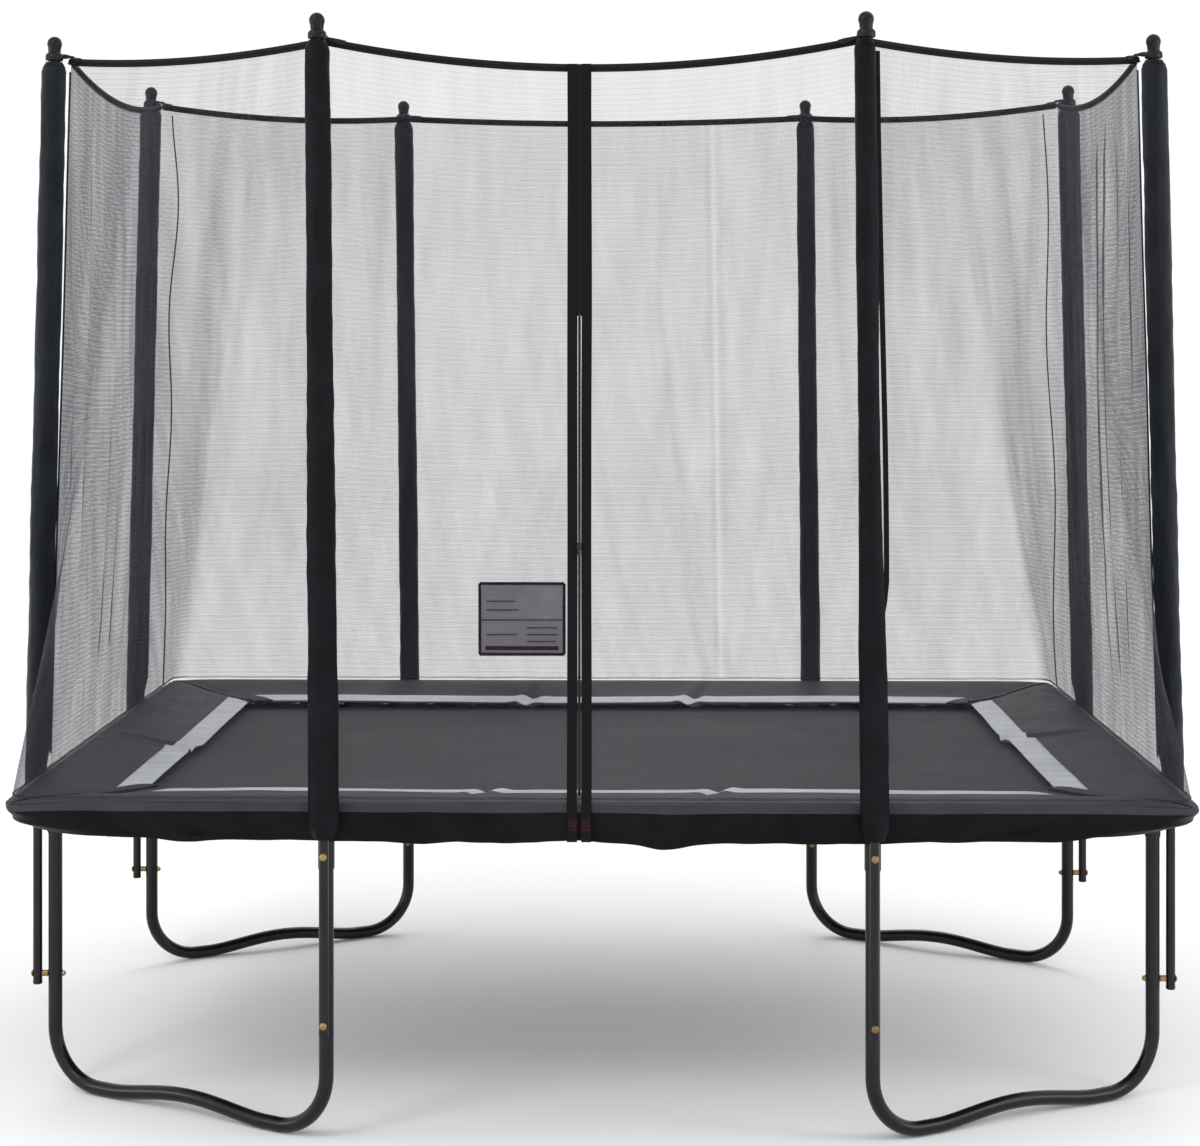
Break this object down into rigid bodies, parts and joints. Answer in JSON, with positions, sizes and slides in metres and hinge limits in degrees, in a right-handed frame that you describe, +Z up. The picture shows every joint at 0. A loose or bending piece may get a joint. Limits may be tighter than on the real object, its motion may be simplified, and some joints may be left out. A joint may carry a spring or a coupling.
{
  "type": "trampoline",
  "caption": "Rectangular garden trampoline on tube legs, with padded spring cover and an enclosure net on padded poles.",
  "frame": {"origin": "on the ground, under the middle of the top frame", "axes": "+X along the long sides, +Y from the door side to the back, +Z up"},
  "size_m": [3.1734, 2.2538, 2.893],
  "materials": {
    "powder_coat": "black powder coat, semi gloss",
    "zinc": "zinc plated",
    "foam_cover": "black coated cloth over foam, satin",
    "cap_plastic": "moulded, satin",
    "mat_weave": "dense polypropylene weave",
    "pad_cover": "coated cloth, satin",
    "netting": "open knitted mesh",
    "webbing": "woven tape",
    "cord": "braided cord",
    "zip_metal": "moulded, semi gloss"
  },
  "bodies": {
    "root": {"door_band": "webbing", "foam_sleeve_back_left": "foam_cover", "foam_sleeve_back_right": "foam_cover", "foam_sleeve_front_left": "foam_cover", "foam_sleeve_front_right": "foam_cover", "foam_sleeve_left_back": "foam_cover", "foam_sleeve_left_front": "foam_cover", "foam_sleeve_right_back": "foam_cover", "foam_sleeve_right_front": "foam_cover", "frame_corner_back_left": "powder_coat", "frame_corner_back_right": "powder_coat", "frame_corner_front_left": "powder_coat", "frame_corner_front_right": "powder_coat", "frame_rail_back": "powder_coat", "frame_rail_front": "powder_coat", "frame_rail_left": "powder_coat", "frame_rail_right": "powder_coat", "leg_back_left": "powder_coat", "leg_back_right": "powder_coat", "leg_front_left": "powder_coat", "leg_front_right": "powder_coat", "net_back": "netting", "net_front": "netting", "net_left": "netting", "net_pole_back_left": "powder_coat", "net_pole_back_right": "powder_coat", "net_pole_front_left": "powder_coat", "net_pole_front_right": "powder_coat", "net_pole_left_back": "powder_coat", "net_pole_left_front": "powder_coat", "net_pole_right_back": "powder_coat", "net_pole_right_front": "powder_coat", "net_right": "netting", "net_top_cord": "cord", "pad_back": "pad_cover", "pad_front": "pad_cover", "pad_left": "pad_cover", "pad_right": "pad_cover", "pole_bolt_back_left": "zinc", "pole_bolt_back_right": "zinc", "pole_bolt_front_left": "zinc", "pole_bolt_front_right": "zinc", "pole_bolt_left_back": "zinc", "pole_bolt_left_front": "zinc", "pole_bolt_right_back": "zinc", "pole_bolt_right_front": "zinc", "pole_cap_back_left": "cap_plastic", "pole_cap_back_right": "cap_plastic", "pole_cap_front_left": "cap_plastic", "pole_cap_front_right": "cap_plastic", "pole_cap_left_back": "cap_plastic", "pole_cap_left_front": "cap_plastic", "pole_cap_right_back": "cap_plastic", "pole_cap_right_front": "cap_plastic", "spring_row_back": "zinc", "spring_row_front": "zinc", "spring_row_left": "zinc", "spring_row_right": "zinc"},
    "mat": {"jump_mat": "mat_weave"},
    "slider": {"zip_slider": "zip_metal"}
  },
  "joints": [
    {"name": "mat_bounce", "type": "slide", "parent": "root", "child": "mat", "axis": [0, 0, 1], "range_m": [-0.4, 0], "stiffness_N_per_m": 4500, "springref_m": 0.02, "deforming": ["spring_row_front", "spring_row_back", "spring_row_left", "spring_row_right"]},
    {"name": "zip_slide", "type": "slide", "parent": "root", "child": "slider", "axis": [0, 0.015, 0.9999], "range_m": [-0.6, 0.57]}
  ]
}
